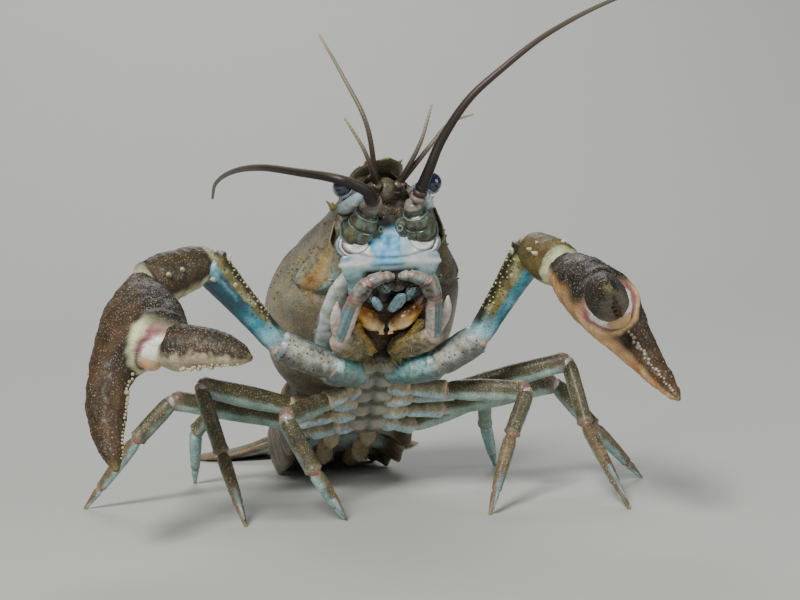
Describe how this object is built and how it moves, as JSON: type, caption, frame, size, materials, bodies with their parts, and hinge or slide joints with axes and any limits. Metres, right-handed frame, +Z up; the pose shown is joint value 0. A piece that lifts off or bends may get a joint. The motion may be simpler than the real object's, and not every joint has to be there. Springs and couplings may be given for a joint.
{
  "type": "signal crayfish model",
  "caption": "Life-size still model of a signal crayfish rearing in a threat pose, claws spread and abdomen flexed, standing on its walking legs and tail fan",
  "frame": {"origin": "centre of the bounding box's bottom, on the floor that the legs and the tail fan stand on", "axes": "+Z up, -Y the way the animal faces, +X its left side"},
  "size_m": [0.1018, 0.128, 0.0872],
  "materials": {
    "shell": "satin, fine granules",
    "belly": "satin",
    "claw": "satin, pale granules",
    "arm": "wet gloss",
    "leg": "satin",
    "eye": "high gloss",
    "stalk": "satin",
    "feeler": "satin, ringed",
    "mandible": "gloss",
    "mouth": "satin",
    "tail": "satin"
  },
  "bodies": {
    "root": {"carapace": "shell", "sternum": "belly", "mouth_floor": "mouth", "epistome": "belly", "mandible_l": "mandible", "mandible_r": "mandible", "maxilliped_l": "mouth", "maxilliped_r": "mouth", "maxilliped_palp_l": "mouth", "maxilliped_palp_r": "mouth", "antenna_base_l": "belly", "antenna_base_r": "belly", "antenna_scale_l": "stalk", "antenna_scale_r": "stalk", "antenna_l_1": "feeler", "antenna_l_2": "feeler", "antenna_r_1": "feeler", "antenna_r_2": "feeler", "antennule_l": "feeler", "antennule_r": "feeler", "eyestalk_l": "stalk", "eyestalk_r": "stalk", "eye_l": "eye", "eye_r": "eye", "cheliped_arm_l": "arm", "cheliped_arm_r": "arm", "cheliped_merus_l": "arm", "cheliped_merus_r": "arm", "cheliped_carpus_l": "claw", "cheliped_carpus_r": "claw", "cheliped_claw_l": "claw", "cheliped_claw_r": "claw", "cheliped_finger_l": "claw", "cheliped_finger_r": "claw", "leg_2l_upper": "leg", "leg_2l_lower": "leg", "leg_2r_upper": "leg", "leg_2r_lower": "leg", "leg_3l_upper": "leg", "leg_3l_lower": "leg", "leg_3r_upper": "leg", "leg_3r_lower": "leg", "leg_4l_upper": "leg", "leg_4l_lower": "leg", "leg_4r_upper": "leg", "leg_4r_lower": "leg", "leg_5l_upper": "leg", "leg_5l_lower": "leg", "leg_5r_upper": "leg", "leg_5r_lower": "leg", "abdomen_1": "tail", "abdomen_2": "tail", "abdomen_3": "tail", "abdomen_4": "tail", "abdomen_5": "tail", "abdomen_6": "tail", "telson": "tail", "uropods_l": "tail", "uropods_r": "tail"}
  },
  "joints": []
}
